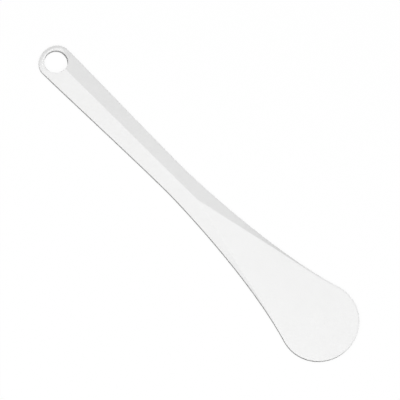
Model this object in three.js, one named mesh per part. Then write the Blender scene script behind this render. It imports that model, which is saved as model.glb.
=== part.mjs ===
// A one-piece moulded nylon spatula, in millimetres: +X from the hanging eye to the blade tip, +Z up.
// Its two faces are alike and so are its two sides, so one quarter is drawn in ribs and mirrored.
import * as THREE from "three";
import { mergeVertices } from "three/addons/utils/BufferGeometryUtils.js";

// Plan outline. Places along the part are measured from the end of the handle.
const LENGTH = 300;
const EYE_WIDTH = 24.7;
const EYE_DEPTH = 10.6; // length of the round end of the handle
const HOLE_AT = 11.6;
const HOLE_DIAMETER = 16.7;
const WAIST_WIDTH = 20.2; // narrowest part of the handle
const WAIST_AT = 132.5;
const BLADE_WIDTH = 57.2;
const TIP_DEPTH = 27.4; // widest part of the blade to its tip
const SHOULDER_ANGLE = 16.4; // how far the tip curve reaches back past the widest part
const EYE_LEAD = 17; // how far the side keeps its direction from the eye
const WAIST_LEAD_BACK = 35.5; // the same behind the waist
const WAIST_LEAD_ON = 2.2; // the same in front of the waist
const SHOULDER_LEAD = 52; // the same behind the shoulder

// Section, the same above and below the middle plane.
const EDGE_HEIGHT = 3.5; // upright wall along the sides
const EYE_EDGE_HEIGHT = 2.8; // the same round the end of the handle
const FACET_ANGLE = 21; // slope of the two facets of the handle
const BLADE_THICKNESS = 3.9;
const FACE_AT = 151; // where the ridge ends and the flat face of the blade begins
const FACE_ANGLE = 13; // between each side of the flat face and the long axis
const FACE_FALL = 1.7; // power of the curve in which the face comes down to the level tip
const BEVEL_WIDTH = 1; // what is left of the facets along the blade
const EDGE_RADIUS = 0.5;
const RIM_RADIUS = 0.5; // rounding of the rim of the hole
const LAND_THICKNESS = 4.2; // of the flat land round the hole
const LAND_LENGTH = 10; // how far from the end of the handle the land stays level
const CREASE = 1; // half width of the rounding along the ridge and beside the flat face
const CREASE_SHARE = 0.4; // most of a facet's width that its crease takes

// Fineness of the mesh.
const EYE_STEPS = 14; // in each quarter turn of the eye
const NECK_STEPS = 8; // where the ribs swing from the rim of the hole to stand square
const GRIP_STEPS = 10;
const FLARE_STEPS = 26;
const FLARE_GRADING = 1.4; // over 1 draws the ribs of the flare closer together towards the tip
const TIP_STEPS = 18;
const ROUND_STEPS = 3; // across each rounding
const FACET_STEPS = 4; // across each facet, half of them on the land beside the hole
const HALVINGS = 40; // in the search for a place along a curve
const WELD = 1e-4; // vertices this close are one vertex

const eyeHalf = EYE_WIDTH / 2;
const waistHalf = WAIST_WIDTH / 2;
const bladeHalf = BLADE_WIDTH / 2;
const edgeHalf = EDGE_HEIGHT / 2;
const eyeEdgeHalf = EYE_EDGE_HEIGHT / 2;
const holeRadius = HOLE_DIAMETER / 2;
const rimX = HOLE_AT + holeRadius;
const eyeX = EYE_DEPTH;
const tipX = LENGTH - TIP_DEPTH;
const quarterTurn = Math.PI / 2;
const facetSlope = Math.tan(THREE.MathUtils.degToRad(FACET_ANGLE));
const faceSlope = Math.tan(THREE.MathUtils.degToRad(FACE_ANGLE));
const { clamp, lerp } = THREE.MathUtils;

// The side of the handle and the flare of the blade: two curves that meet at the waist.
const shoulder = THREE.MathUtils.degToRad(SHOULDER_ANGLE);
const shoulderX = tipX - TIP_DEPTH * Math.sin(shoulder);
const shoulderHalf = bladeHalf * Math.cos(shoulder);
const shoulderSlope = (bladeHalf / TIP_DEPTH) * Math.tan(shoulder);
const handleSide = new THREE.CubicBezierCurve(
  new THREE.Vector2(eyeX, eyeHalf),
  new THREE.Vector2(eyeX + EYE_LEAD, eyeHalf),
  new THREE.Vector2(WAIST_AT - WAIST_LEAD_BACK, waistHalf),
  new THREE.Vector2(WAIST_AT, waistHalf),
);
const flareSide = new THREE.CubicBezierCurve(
  new THREE.Vector2(WAIST_AT, waistHalf),
  new THREE.Vector2(WAIST_AT + WAIST_LEAD_ON, waistHalf),
  new THREE.Vector2(shoulderX - SHOULDER_LEAD, shoulderHalf - shoulderSlope * SHOULDER_LEAD),
  new THREE.Vector2(shoulderX, shoulderHalf),
);

// Distance of a side curve from the long axis at a place along the part.
function sideAt(curve, x) {
  let low = 0;
  let high = 1;
  for (let i = 0; i < HALVINGS; i++) {
    const middle = (low + high) / 2;
    if (curve.getPoint(middle).x < x) low = middle;
    else high = middle;
  }
  return curve.getPoint(low).y;
}

// Half width of the plan outline. Past the centre of a round end it stays that end's half width.
function halfWidth(x) {
  if (x <= eyeX) return eyeHalf;
  if (x <= WAIST_AT) return sideAt(handleSide, x);
  if (x <= shoulderX) return sideAt(flareSide, x);
  if (x >= tipX) return bladeHalf;
  return bladeHalf * Math.sqrt(1 - ((tipX - x) / TIP_DEPTH) ** 2);
}

// Half width of the flat face: none along the handle, then a wedge that stays a bevel short of the edge.
function faceHalf(x) {
  if (x <= FACE_AT) return 0;
  const place = Math.min(x, tipX);
  const wedge = (place - FACE_AT) * faceSlope;
  const inset = halfWidth(place) - BEVEL_WIDTH;
  return (wedge + inset - Math.hypot(wedge - inset, BEVEL_WIDTH / 2)) / 2;
}

// Half the height of the upright wall, up to the point where it would meet the facet.
function edgeAt(x) {
  return lerp(eyeEdgeHalf, edgeHalf, clamp((x - eyeX) / (rimX - eyeX), 0, 1));
}

// Height of the ridge, and then of the flat face, above the middle plane.
function crestHeight(x) {
  const ridge = edgeHalf + halfWidth(Math.min(x, FACE_AT)) * facetSlope;
  const fromTip = clamp((tipX - x) / (tipX - FACE_AT), 0, 1);
  return lerp(BLADE_THICKNESS / 2, ridge, fromTip ** FACE_FALL);
}

// What a section needs to know at a place along the part.
function sectionAt(x) {
  const half = halfWidth(x);
  const face = faceHalf(x);
  const edge = edgeAt(x);
  const crest = crestHeight(x);
  const slope = (crest - edge) / (half - face);
  const crease = Math.min(CREASE, (half - face) * CREASE_SHARE);
  return { half, face, edge, crest, slope, crease };
}

// Distance from the long axis, or from the centre of a round end on the scale of that end's half width.
function spread(x, y) {
  if (x < eyeX) return eyeHalf * Math.hypot((eyeX - x) / EYE_DEPTH, y / eyeHalf);
  if (x > tipX) return bladeHalf * Math.hypot((x - tipX) / TIP_DEPTH, y / bladeHalf);
  return y;
}

// How far out on the facet a point lies, past the flat face, averaged over the width of the crease.
function facetRun(distance, face, crease) {
  const area = (u) => (Math.sign(u) * Math.max(Math.abs(u) - face, 0) ** 2) / 2;
  return (area(distance + crease) - area(distance - crease)) / (2 * crease);
}

// Height of the facets and of the flat face of the blade above the middle plane.
function facetHeight(x, y) {
  const { face, crest, slope, crease } = sectionAt(x);
  return crest - slope * facetRun(spread(x, y), face, crease);
}

// Height of the land round the hole. From its level end it rises to meet the ridge at the far rim.
const landHalf = LAND_THICKNESS / 2;
const landSlope = (crestHeight(rimX) - landHalf) / (rimX - LAND_LENGTH);
function landHeight(x) {
  return landHalf + Math.max(x - LAND_LENGTH, 0) * landSlope;
}

// Height of the upper side above the middle plane, with the rim of the hole rounded off.
function topHeight(x, y) {
  const height = Math.min(facetHeight(x, y), landHeight(x));
  const toFlat = Math.max(RIM_RADIUS + holeRadius - Math.hypot(x - HOLE_AT, y), 0);
  return height - RIM_RADIUS + Math.sqrt(Math.max(RIM_RADIUS ** 2 - toFlat ** 2, 0));
}

// Distances in from the rim at which its rounding has turned by equal steps.
const rimSteps = [];
for (let i = 0; i <= ROUND_STEPS; i++) {
  rimSteps.push(RIM_RADIUS * (1 - Math.cos((quarterTurn * i) / ROUND_STEPS)));
}

// Distances out from the long axis that follow the crease: over the ridge, or at the side of the face.
function creaseSteps({ face, crease }) {
  const far = face + crease;
  const steps = [0];
  for (let i = 0; i < ROUND_STEPS; i++) {
    const across = lerp(-crease, crease, i / (ROUND_STEPS - 1));
    steps.push(Math.max(face + across, (far * (i + 1)) / ROUND_STEPS));
  }
  return steps;
}

// Share of the way out along a rib at the hole to the line where the land ends and the facet begins.
function landShare(place, rimShare, edgeShare) {
  let low = rimShare;
  let high = edgeShare;
  for (let i = 0; i < HALVINGS; i++) {
    const middle = (low + high) / 2;
    const { x, y } = place(middle);
    if (landHeight(x) < facetHeight(x, y)) low = middle;
    else high = middle;
  }
  return low;
}

// One rib of the quarter: from the middle plane up the wall, round the edge, in over the upper face to
// the long axis or the rim of the hole and, in the hole, down to the middle plane again.
function rib(outer, inner, atHole) {
  const section = sectionAt(outer.x);
  const run = section.half - spread(inner.x, inner.y);
  const lean = Math.atan(section.slope);
  const wallTop = section.edge + section.slope * EDGE_RADIUS - EDGE_RADIUS / Math.cos(lean);
  const place = (share) => new THREE.Vector2().lerpVectors(inner, outer, share);
  const points = [new THREE.Vector3(outer.x, outer.y, 0)];
  let edgeShare = 1;
  for (let i = 0; i <= ROUND_STEPS; i++) {
    const turn = ((quarterTurn - lean) * i) / ROUND_STEPS;
    edgeShare = 1 - (EDGE_RADIUS * (1 - Math.cos(turn))) / run;
    const { x, y } = place(edgeShare);
    points.push(new THREE.Vector3(x, y, wallTop + EDGE_RADIUS * Math.sin(turn)));
  }
  const steps = atHole ? rimSteps : creaseSteps(section);
  const reach = atHole ? outer.distanceTo(inner) : section.half;
  const shares = steps.map((step) => step / reach);
  const creaseShare = shares.at(-1);
  const evenly = (part) => lerp(creaseShare, edgeShare, part);
  const line = atHole ? landShare(place, creaseShare, edgeShare) : evenly(1 / 2);
  const bend = clamp(line, evenly(1 / FACET_STEPS), evenly(1 - 1 / FACET_STEPS));
  for (let i = 1; i < FACET_STEPS; i++) {
    const part = (2 * i) / FACET_STEPS;
    shares.push(part < 1 ? lerp(creaseShare, bend, part) : lerp(bend, edgeShare, part - 1));
  }
  for (const share of shares.reverse()) {
    const { x, y } = place(share);
    points.push(new THREE.Vector3(x, y, topHeight(x, y)));
  }
  if (atHole) points.push(new THREE.Vector3(inner.x, inner.y, 0));
  return points;
}

// The ribs in order: round the eye, along the side and round the tip.
const ribs = [];
const neckX = rimX + eyeHalf;
const gripX = neckX + EYE_WIDTH;
const onAxis = (x) => new THREE.Vector2(x, 0);
const onSide = (x) => new THREE.Vector2(x, halfWidth(x));
const onEllipse = (x, depth, half, turn) =>
  new THREE.Vector2(x + depth * Math.cos(turn), half * Math.sin(turn));
const onRim = (turn) => onEllipse(HOLE_AT, holeRadius, holeRadius, turn);

for (let i = 0; i <= EYE_STEPS; i++) {
  const turn = Math.PI - (quarterTurn * i) / EYE_STEPS;
  ribs.push(rib(onEllipse(eyeX, EYE_DEPTH, eyeHalf, turn), onRim(turn), true));
}
for (let i = 1; i <= EYE_STEPS; i++) {
  const share = i / EYE_STEPS;
  ribs.push(rib(onSide(lerp(eyeX, neckX, share)), onRim(quarterTurn * (1 - share)), true));
}
for (let i = 1; i <= NECK_STEPS; i++) {
  const past = Math.max(i - ROUND_STEPS, 0) / (NECK_STEPS - ROUND_STEPS);
  const start = rimX + rimSteps[Math.min(i, ROUND_STEPS)];
  ribs.push(rib(onSide(lerp(neckX, gripX, i / NECK_STEPS)), onAxis(lerp(start, gripX, past)), false));
}
for (let i = 1; i <= GRIP_STEPS; i++) {
  const x = lerp(gripX, FACE_AT, i / GRIP_STEPS);
  ribs.push(rib(onSide(x), onAxis(x), false));
}
for (let i = 1; i <= FLARE_STEPS; i++) {
  const x = lerp(tipX, FACE_AT, (1 - i / FLARE_STEPS) ** FLARE_GRADING);
  ribs.push(rib(onSide(x), onAxis(x), false));
}
for (let i = 1; i <= TIP_STEPS; i++) {
  const turn = quarterTurn * (1 - i / TIP_STEPS);
  ribs.push(rib(onEllipse(tipX, TIP_DEPTH, bladeHalf, turn), onAxis(tipX), false));
}

// Triangles between neighbouring ribs. At the centre of the tip the ribs meet, and one of each pair goes.
const triangles = [];
for (let i = 1; i < ribs.length; i++) {
  const [before, after] = [ribs[i - 1], ribs[i]];
  for (let j = 1; j < Math.min(before.length, after.length); j++) {
    if (!before[j].equals(after[j])) triangles.push([before[j - 1], before[j], after[j]]);
    triangles.push([before[j - 1], after[j], after[j - 1]]);
  }
}

// The four quarters as one closed body. A quarter mirrored once has its triangles turned round.
function moulding() {
  const positions = [];
  for (const [sideY, sideZ] of [[1, 1], [1, -1], [-1, 1], [-1, -1]]) {
    for (const triangle of triangles) {
      const corners = sideY * sideZ > 0 ? triangle : triangle.toReversed();
      for (const { x, y, z } of corners) positions.push(x, sideY * y, sideZ * z);
    }
  }
  const quarters = new THREE.BufferGeometry();
  quarters.setAttribute("position", new THREE.Float32BufferAttribute(positions, 3));
  const body = mergeVertices(quarters, WELD);
  body.computeBoundingBox();
  body.translate(-LENGTH / 2, 0, -body.boundingBox.min.z);
  body.computeVertexNormals();
  return body;
}

const nylon = new THREE.MeshStandardMaterial({ color: "#f1f1f0", roughness: 0.5, metalness: 0 });
const spatulaBody = new THREE.Mesh(moulding(), nylon);
spatulaBody.name = "spatula_body";

const spatula = new THREE.Group();
spatula.name = "nylon_spatula";
spatula.add(spatulaBody);

export default spatula;
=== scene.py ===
"""Looks of the one-piece nylon spatula: a fine skin over its solid, its material, light and camera."""

import math
from functools import lru_cache

import bmesh
import bpy
from mathutils import Matrix, Vector


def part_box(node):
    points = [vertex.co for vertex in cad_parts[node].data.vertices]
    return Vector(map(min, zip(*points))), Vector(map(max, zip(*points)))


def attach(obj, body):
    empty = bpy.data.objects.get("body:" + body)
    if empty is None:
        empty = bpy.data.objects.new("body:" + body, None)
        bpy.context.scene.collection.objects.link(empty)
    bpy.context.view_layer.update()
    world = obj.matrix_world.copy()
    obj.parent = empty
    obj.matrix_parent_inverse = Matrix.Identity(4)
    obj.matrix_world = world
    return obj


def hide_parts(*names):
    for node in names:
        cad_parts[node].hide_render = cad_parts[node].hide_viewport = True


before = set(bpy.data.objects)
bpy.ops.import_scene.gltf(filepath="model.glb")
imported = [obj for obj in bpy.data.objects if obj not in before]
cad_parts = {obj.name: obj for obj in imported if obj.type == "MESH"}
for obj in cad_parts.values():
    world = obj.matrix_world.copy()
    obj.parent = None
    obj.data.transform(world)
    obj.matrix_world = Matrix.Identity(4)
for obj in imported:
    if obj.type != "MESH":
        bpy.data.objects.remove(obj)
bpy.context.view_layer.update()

MM = 0.001

# Plan outline in millimetres, measured along the part from the end of the handle.
LENGTH = 300
EYE_WIDTH = 24.7
EYE_DEPTH = 10.6  # length of the round end of the handle
HOLE_AT = 11.6
HOLE_DIAMETER = 16.7
WAIST_WIDTH = 20.2  # narrowest part of the handle
WAIST_AT = 132.5
BLADE_WIDTH = 57.2
TIP_DEPTH = 27.4  # widest part of the blade to its tip
SHOULDER_ANGLE = 16.4  # degrees that the tip curve reaches back past the widest part
EYE_LEAD = 17  # how far the side keeps its direction from the eye
WAIST_LEAD_BACK = 35.5  # the same behind the waist
WAIST_LEAD_ON = 2.2  # the same in front of the waist
SHOULDER_LEAD = 52  # the same behind the shoulder

# Section in millimetres and degrees, alike above and below the middle plane.
EDGE_HEIGHT = 3.5  # upright wall along the sides
EYE_EDGE_HEIGHT = 2  # the same at the end of the handle
FACET_ANGLE = 20.4  # slope of the two facets of the handle
BLADE_THICKNESS = 3.9
FACE_AT = 151  # where the ridge ends and the flat face of the blade begins
FACE_ANGLE = 13  # between each side of the flat face and the long axis
FACE_FALL = 1.7  # power of the curve in which the face comes down to the level tip
BEVEL_WIDTH = 1  # what is left of the facets along the blade
EDGE_RADIUS = 0.25
RIM_RADIUS = 0.3  # rounding of the rim of the hole
LAND_THICKNESS = 4.2  # of the flat land round the hole
LAND_LENGTH = 10  # where the land stops being level and starts to rise
LAND_BEND = 2.5  # length of that bend to each side of its middle
LAND_CREASE = 0.15  # the land and a facet blend where their heights are this close
CREASE = 0.3  # half width of the rounding along the ridge and beside the flat face
CREASE_SHARE = 0.4  # most of a facet's width that its crease takes

# The line that the two halves of the mould leave round the edge.
PARTING_PROUD = 0.05
PARTING_HALF = 0.1

# Distance of a row of points from each end of the edge wall, to keep the shading of the wall flat.
WALL_HOLD = 0.03

# Fineness of the skin.
EYE_STEPS = 48  # in each quarter turn of the hole
NECK_STEPS = 32  # where the ribs swing from the rim of the hole to stand square
GRIP_STEPS = 48
FLARE_STEPS = 110
FLARE_GRADING = 1.4  # over 1 draws the ribs of the flare closer together towards the tip
TIP_STEPS = 72
ROUND_STEPS = 8  # across each rounding
FACET_STEPS = 16  # across each facet
HALVINGS = 40  # in the search for a place along a curve
WELD = 1e-4  # vertices this close are one vertex

eye_half = EYE_WIDTH / 2
waist_half = WAIST_WIDTH / 2
blade_half = BLADE_WIDTH / 2
edge_half = EDGE_HEIGHT / 2
eye_edge_half = EYE_EDGE_HEIGHT / 2
hole_radius = HOLE_DIAMETER / 2
rim_x = HOLE_AT + hole_radius
eye_x = EYE_DEPTH
tip_x = LENGTH - TIP_DEPTH
quarter_turn = math.pi / 2
facet_slope = math.tan(math.radians(FACET_ANGLE))
face_slope = math.tan(math.radians(FACE_ANGLE))

shoulder = math.radians(SHOULDER_ANGLE)
shoulder_x = tip_x - TIP_DEPTH * math.sin(shoulder)
shoulder_half = blade_half * math.cos(shoulder)
shoulder_slope = (blade_half / TIP_DEPTH) * math.tan(shoulder)

HANDLE_SIDE = [
    Vector((eye_x, eye_half)),
    Vector((eye_x + EYE_LEAD, eye_half)),
    Vector((WAIST_AT - WAIST_LEAD_BACK, waist_half)),
    Vector((WAIST_AT, waist_half)),
]
FLARE_SIDE = [
    Vector((WAIST_AT, waist_half)),
    Vector((WAIST_AT + WAIST_LEAD_ON, waist_half)),
    Vector((shoulder_x - SHOULDER_LEAD, shoulder_half - shoulder_slope * SHOULDER_LEAD)),
    Vector((shoulder_x, shoulder_half)),
]


def lerp(a, b, t):
    return a + (b - a) * t


def clamp(share):
    return min(max(share, 0), 1)


def soft_min(a, b, reach):
    """The lower of two values, rounded where they are closer than the reach."""
    near = max(reach - abs(a - b), 0)
    return min(a, b) - near**2 / (4 * reach)


def bezier(ends, t):
    s = 1 - t
    return ends[0] * s**3 + ends[1] * (3 * s * s * t) + ends[2] * (3 * s * t * t) + ends[3] * t**3


def side_at(ends, x):
    """Distance of a side curve from the long axis at a place along the part."""
    low, high = 0.0, 1.0
    for _ in range(HALVINGS):
        middle = (low + high) / 2
        if bezier(ends, middle).x < x:
            low = middle
        else:
            high = middle
    return bezier(ends, low).y


@lru_cache(maxsize=None)
def half_width(x):
    """Half width of the part. Over a round end it is that end's greatest half width."""
    if x <= eye_x:
        return eye_half
    if x <= WAIST_AT:
        return side_at(HANDLE_SIDE, x)
    if x <= shoulder_x:
        return side_at(FLARE_SIDE, x)
    if x >= tip_x:
        return blade_half
    return blade_half * math.sqrt(1 - ((tip_x - x) / TIP_DEPTH) ** 2)


def face_half(x):
    """Half width of the flat face, which stays a bevel short of the edge."""
    if x <= FACE_AT:
        return 0.0
    place = min(x, tip_x)
    wedge = (place - FACE_AT) * face_slope
    inset = half_width(place) - BEVEL_WIDTH
    return (wedge + inset - math.hypot(wedge - inset, BEVEL_WIDTH / 2)) / 2


def edge_at(x):
    """Half height of the wall, up to where it would meet the facet: lower towards the end of the eye."""
    return lerp(eye_edge_half, edge_half, clamp(x / rim_x))


def crest_height(x):
    """Height of the ridge, and then of the flat face, above the middle plane."""
    ridge = edge_half + half_width(min(x, FACE_AT)) * facet_slope
    from_tip = clamp((tip_x - x) / (tip_x - FACE_AT))
    return lerp(BLADE_THICKNESS / 2, ridge, from_tip**FACE_FALL)


@lru_cache(maxsize=None)
def section_at(x):
    """Half widths of part and face, heights of wall and crest, and the slope and crease of the facet."""
    half = half_width(x)
    face = face_half(x)
    edge = edge_at(x)
    crest = crest_height(x)
    slope = (crest - edge) / (half - face)
    crease = min(CREASE, (half - face) * CREASE_SHARE)
    return half, face, edge, crest, slope, crease


def spread(x, y):
    """Distance from the long axis, or from the centre of a round end on the scale of its half width."""
    if x < eye_x:
        return eye_half * math.hypot((eye_x - x) / EYE_DEPTH, y / eye_half)
    if x > tip_x:
        return blade_half * math.hypot((x - tip_x) / TIP_DEPTH, y / blade_half)
    return y


def facet_run(distance, face, crease):
    """Distance out from the flat face, averaged over the width of the crease to round it."""

    def area(u):
        return math.copysign(max(abs(u) - face, 0) ** 2 / 2, u)

    return (area(distance + crease) - area(distance - crease)) / (2 * crease)


land_half = LAND_THICKNESS / 2
land_slope = (crest_height(rim_x) - land_half) / (rim_x - LAND_LENGTH)


def land_height(x):
    """Height of the land round the hole, which bends up from its level end to the ridge at the far rim."""
    return land_half - soft_min(LAND_LENGTH - x, 0, LAND_BEND) * land_slope


def top_height(x, y):
    """Height of the upper face above the middle plane, with the rim of the hole rounded off."""
    _, face, _, crest, slope, crease = section_at(x)
    facet = crest - slope * facet_run(spread(x, y), face, crease)
    height = soft_min(facet, land_height(x), LAND_CREASE)
    to_flat = max(RIM_RADIUS + hole_radius - math.hypot(x - HOLE_AT, y), 0)
    return height - RIM_RADIUS + math.sqrt(max(RIM_RADIUS**2 - to_flat**2, 0))


rim_turns = [quarter_turn * i / ROUND_STEPS for i in range(ROUND_STEPS + 1)]
rim_steps = [RIM_RADIUS * (1 - math.cos(turn)) for turn in rim_turns]


def crease_steps(face, crease):
    """Distances out from the long axis that follow the crease."""
    far = face + crease
    steps = [0.0]
    for i in range(ROUND_STEPS):
        across = lerp(-crease, crease, i / (ROUND_STEPS - 1))
        steps.append(max(face + across, far * (i + 1) / ROUND_STEPS))
    return steps


def lift(place, height):
    """The point at that height over a place in the plan."""
    return Vector((place.x, place.y, height))


def rib(outer, inner, at_hole):
    """One rib of the quarter: up the wall, round the edge, in over the face and down into any hole."""
    half, face, edge, _, slope, crease = section_at(outer.x)
    run = half - spread(inner.x, inner.y)
    lean = math.atan(slope)
    wall_top = edge + slope * EDGE_RADIUS - EDGE_RADIUS / math.cos(lean)
    proud = outer + (outer - inner).normalized() * PARTING_PROUD
    points = [
        lift(proud, 0),
        lift(proud, PARTING_HALF - PARTING_PROUD),
        lift(outer, PARTING_HALF),
        lift(outer, PARTING_HALF + WALL_HOLD),
        lift(outer, wall_top - WALL_HOLD),
    ]
    for i in range(ROUND_STEPS + 1):
        turn = (quarter_turn - lean) * i / ROUND_STEPS
        edge_share = 1 - EDGE_RADIUS * (1 - math.cos(turn)) / run
        points.append(lift(inner.lerp(outer, edge_share), wall_top + EDGE_RADIUS * math.sin(turn)))
    steps = rim_steps if at_hole else crease_steps(face, crease)
    reach = (outer - inner).length if at_hole else half
    shares = [step / reach for step in steps]
    inner_share = shares[-1]
    for i in range(1, FACET_STEPS):
        shares.append(lerp(inner_share, edge_share, i / FACET_STEPS))
    for share in reversed(shares):
        place = inner.lerp(outer, share)
        points.append(lift(place, top_height(place.x, place.y)))
    if at_hole:
        points.append(lift(inner, 0))
    return points


def on_axis(x):
    return Vector((x, 0.0))


def on_side(x):
    return Vector((x, half_width(x)))


def on_ellipse(x, depth, half, turn):
    return Vector((x + depth * math.cos(turn), half * math.sin(turn)))


def on_rim(turn):
    return on_ellipse(HOLE_AT, hole_radius, hole_radius, turn)


def all_ribs():
    """The ribs in order: round the eye, along the side and round the tip."""
    neck_x = rim_x + eye_half
    grip_x = neck_x + EYE_WIDTH
    ribs = []
    for i in range(EYE_STEPS + 1):
        turn = math.pi - quarter_turn * i / EYE_STEPS
        ribs.append(rib(on_ellipse(eye_x, EYE_DEPTH, eye_half, turn), on_rim(turn), True))
    for i in range(1, EYE_STEPS + 1):
        share = i / EYE_STEPS
        outer = on_side(lerp(eye_x, neck_x, share))
        ribs.append(rib(outer, on_rim(quarter_turn * (1 - share)), True))
    for i in range(1, NECK_STEPS + 1):
        past = max(i - ROUND_STEPS, 0) / (NECK_STEPS - ROUND_STEPS)
        start = rim_x + rim_steps[min(i, ROUND_STEPS)]
        outer = on_side(lerp(neck_x, grip_x, i / NECK_STEPS))
        ribs.append(rib(outer, on_axis(lerp(start, grip_x, past)), False))
    for i in range(1, GRIP_STEPS + 1):
        x = lerp(grip_x, FACE_AT, i / GRIP_STEPS)
        ribs.append(rib(on_side(x), on_axis(x), False))
    for i in range(1, FLARE_STEPS + 1):
        x = lerp(tip_x, FACE_AT, (1 - i / FLARE_STEPS) ** FLARE_GRADING)
        ribs.append(rib(on_side(x), on_axis(x), False))
    for i in range(1, TIP_STEPS + 1):
        turn = quarter_turn * (1 - i / TIP_STEPS)
        ribs.append(rib(on_ellipse(tip_x, TIP_DEPTH, blade_half, turn), on_axis(tip_x), False))
    return ribs


def placed(point, side_y, side_z, middle_z):
    """A point of the quarter in metres, on one of the two sides and one of the two faces of the part."""
    return (point.x - LENGTH / 2) * MM, side_y * point.y * MM, middle_z + side_z * point.z * MM


def moulding_mesh(middle_z):
    """The four quarters as one closed skin in metres, with its middle plane at that height."""
    made = bmesh.new()
    ribs = all_ribs()
    for side_y, side_z in ((1, 1), (1, -1), (-1, 1), (-1, -1)):
        rows = [[made.verts.new(placed(p, side_y, side_z, middle_z)) for p in points] for points in ribs]
        for before, after in zip(rows, rows[1:]):
            for j in range(1, min(len(before), len(after))):
                corners = [before[j - 1], before[j], after[j], after[j - 1]]
                if side_y * side_z < 0:
                    corners.reverse()
                made.faces.new(corners)
    bmesh.ops.remove_doubles(made, verts=made.verts, dist=WELD * MM)
    bmesh.ops.dissolve_degenerate(made, edges=made.edges, dist=WELD * MM)
    for face in made.faces:
        face.smooth = True
    mesh = bpy.data.meshes.new("spatula_moulding")
    made.to_mesh(mesh)
    made.free()
    return mesh


# White satin nylon: faint cloudiness, an uneven sheen and a fine moulded grain.
NYLON = {
    "IOR": 1.53,
    "Specular IOR Level": 0.3,
    "Subsurface Weight": 0.1,
    "Subsurface Radius": (1.0, 1.0, 1.0),
    "Subsurface Scale": 0.8 * MM,
}
CLOUD_NOISE = {"Scale": 70.0, "Detail": 3.0, "Roughness": 0.5}
CLOUD_TINTS = [(0.3, (0.877, 0.877, 0.874, 1)), (0.7, (0.887, 0.887, 0.885, 1))]
SHEEN_NOISE = {"Scale": 160.0, "Detail": 4.0, "Roughness": 0.6}
SHEEN_RANGE = {"To Min": 0.6, "To Max": 0.72}
GRAIN_NOISE = {"Scale": 2200.0, "Detail": 2.0, "Roughness": 0.55}
GRAIN_RELIEF = {"Strength": 0.25, "Distance": 0.02 * MM}


def set_inputs(node, values):
    for name, value in values.items():
        node.inputs[name].default_value = value


def add(nodes, kind, values):
    """A new node with these values on its inputs."""
    node = nodes.new(kind)
    set_inputs(node, values)
    return node


def nylon_material():
    material = bpy.data.materials.new("white_nylon")
    material.use_nodes = True
    nodes, links = material.node_tree.nodes, material.node_tree.links
    shader = nodes["Principled BSDF"]
    set_inputs(shader, NYLON)
    place = nodes.new("ShaderNodeTexCoord")

    def noise(values):
        texture = add(nodes, "ShaderNodeTexNoise", values)
        links.new(place.outputs["Object"], texture.inputs["Vector"])
        return texture.outputs["Fac"]

    tint = nodes.new("ShaderNodeValToRGB")
    for stop, (position, colour) in zip(tint.color_ramp.elements, CLOUD_TINTS):
        stop.position = position
        stop.color = colour
    links.new(noise(CLOUD_NOISE), tint.inputs["Fac"])
    links.new(tint.outputs["Color"], shader.inputs["Base Color"])

    rough = add(nodes, "ShaderNodeMapRange", SHEEN_RANGE)
    links.new(noise(SHEEN_NOISE), rough.inputs["Value"])
    links.new(rough.outputs["Result"], shader.inputs["Roughness"])

    bump = add(nodes, "ShaderNodeBump", GRAIN_RELIEF)
    links.new(noise(GRAIN_NOISE), bump.inputs["Height"])
    links.new(bump.outputs["Normal"], shader.inputs["Normal"])
    return material


lowest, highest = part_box("spatula_body")
middle_z = (lowest.z + highest.z) / 2
moulding = bpy.data.objects.new("spatula_moulding", moulding_mesh(middle_z))
bpy.context.scene.collection.objects.link(moulding)
moulding.data.materials.append(nylon_material())
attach(moulding, "root")
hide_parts("spatula_body")

# Stage: a floor that lights the part as grey and is seen as white, with the shadow of the part left on it.
FLOOR_SIZE = 12.0
FLOOR_COLOUR = (0.22, 0.22, 0.22, 1)
FLOOR_GLOW_SHARE = 0.93
WHITE = (1, 1, 1, 1)


def white_rays(nodes, links):
    """1 for the rays that show the background as white: from the camera, and by way of gloss or glass."""
    paths = nodes.new("ShaderNodeLightPath")
    either = paths.outputs["Is Camera Ray"]
    for name in ("Is Glossy Ray", "Is Transmission Ray"):
        larger = nodes.new("ShaderNodeMath")
        larger.operation = "MAXIMUM"
        links.new(either, larger.inputs[0])
        links.new(paths.outputs[name], larger.inputs[1])
        either = larger.outputs["Value"]
    return either


def link_background(tree, lighting, seen, output_kind):
    """Show one shader to the rays that see the background as white, and light the part by the other."""
    nodes, links = tree.nodes, tree.links
    shown = nodes.new("ShaderNodeMixShader")
    output = nodes.new(output_kind)
    links.new(white_rays(nodes, links), shown.inputs["Fac"])
    links.new(lighting, shown.inputs[1])
    links.new(seen, shown.inputs[2])
    links.new(shown.outputs["Shader"], output.inputs["Surface"])


def floor_material():
    material = bpy.data.materials.new("floor")
    material.use_nodes = True
    tree = material.node_tree
    tree.nodes.clear()
    paint = add(tree.nodes, "ShaderNodeBsdfDiffuse", {"Color": FLOOR_COLOUR})
    white = add(tree.nodes, "ShaderNodeBsdfDiffuse", {"Color": WHITE})
    glow = add(tree.nodes, "ShaderNodeEmission", {"Color": WHITE, "Strength": 1.0})
    seen = add(tree.nodes, "ShaderNodeMixShader", {"Fac": FLOOR_GLOW_SHARE})
    tree.links.new(white.outputs["BSDF"], seen.inputs[1])
    tree.links.new(glow.outputs["Emission"], seen.inputs[2])
    link_background(tree, paint.outputs["BSDF"], seen.outputs["Shader"], "ShaderNodeOutputMaterial")
    return material


def stage_floor():
    made = bmesh.new()
    bmesh.ops.create_grid(made, x_segments=1, y_segments=1, size=FLOOR_SIZE / 2)
    mesh = bpy.data.meshes.new("floor")
    made.to_mesh(mesh)
    made.free()
    floor = bpy.data.objects.new("floor", mesh)
    floor.data.materials.append(floor_material())
    bpy.context.scene.collection.objects.link(floor)


stage_floor()

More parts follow.
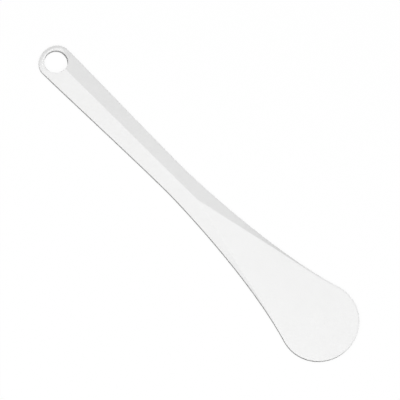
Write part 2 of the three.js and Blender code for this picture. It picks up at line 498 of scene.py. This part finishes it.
# Light: one large soft lamp above, and a dim even surround that is seen as white.
SURROUND = 0.02
LAMP_TOWARDS = (0.085, -0.175, 0.98)
LAMP_DISTANCE = 2.4
LAMP_SIZE = 1.5
LAMP_POWER = 61


def stage_world():
    world = bpy.data.worlds.new("surround")
    bpy.context.scene.world = world
    world.use_nodes = True
    tree = world.node_tree
    tree.nodes.clear()
    dim = add(tree.nodes, "ShaderNodeBackground", {"Color": WHITE, "Strength": SURROUND})
    white = add(tree.nodes, "ShaderNodeBackground", {"Color": WHITE, "Strength": 1.0})
    link_background(tree, dim.outputs["Background"], white.outputs["Background"], "ShaderNodeOutputWorld")


def stage_lamp():
    """A round lamp that faces the part."""
    lamp = bpy.data.lights.new("key_lamp", "AREA")
    lamp.shape = "DISK"
    lamp.size = LAMP_SIZE
    lamp.energy = LAMP_POWER
    made = bpy.data.objects.new("key_lamp", lamp)
    direction = Vector(LAMP_TOWARDS).normalized()
    made.location = direction * LAMP_DISTANCE
    made.rotation_euler = direction.to_track_quat("Z", "Y").to_euler()
    made.visible_camera = False
    bpy.context.scene.collection.objects.link(made)


stage_world()
stage_lamp()

# Camera, from the same angle as the photograph.
TILT = math.radians(13.3)  # from straight above
AZIMUTH = math.radians(24.3)
ROLL = math.radians(-20.8654)
LENS = 400.0
SENSOR = 36.0
CLIP_END = 100.0
FRAME_PIXELS = 400
PIXELS_PER_MM = 1.42345
AIM_RIGHT_PIXELS = 4.952  # from the middle of the part to the middle of the frame
AIM_UP_PIXELS = -0.173


def stage_camera():
    data = bpy.data.cameras.new("camera")
    data.lens = LENS
    data.sensor_width = SENSOR
    data.clip_end = CLIP_END
    lean = math.sin(TILT)
    back = Vector((lean * math.sin(AZIMUTH), -lean * math.cos(AZIMUTH), math.cos(TILT)))
    level = Vector((math.cos(AZIMUTH), math.sin(AZIMUTH), 0))
    rise = back.cross(level)
    right = level * math.cos(ROLL) - rise * math.sin(ROLL)
    up = level * math.sin(ROLL) + rise * math.cos(ROLL)
    pixel = MM / PIXELS_PER_MM
    aim = Vector((0, 0, middle_z)) + (right * AIM_RIGHT_PIXELS + up * AIM_UP_PIXELS) * pixel
    place = aim + back * (FRAME_PIXELS * pixel * LENS / SENSOR)
    camera = bpy.data.objects.new("camera", data)
    turned = Matrix((right, up, back)).transposed().to_4x4()
    camera.matrix_world = Matrix.Translation(place) @ turned
    bpy.context.scene.collection.objects.link(camera)
    bpy.context.scene.camera = camera


stage_camera()
bpy.context.scene.view_settings.view_transform = "Standard"
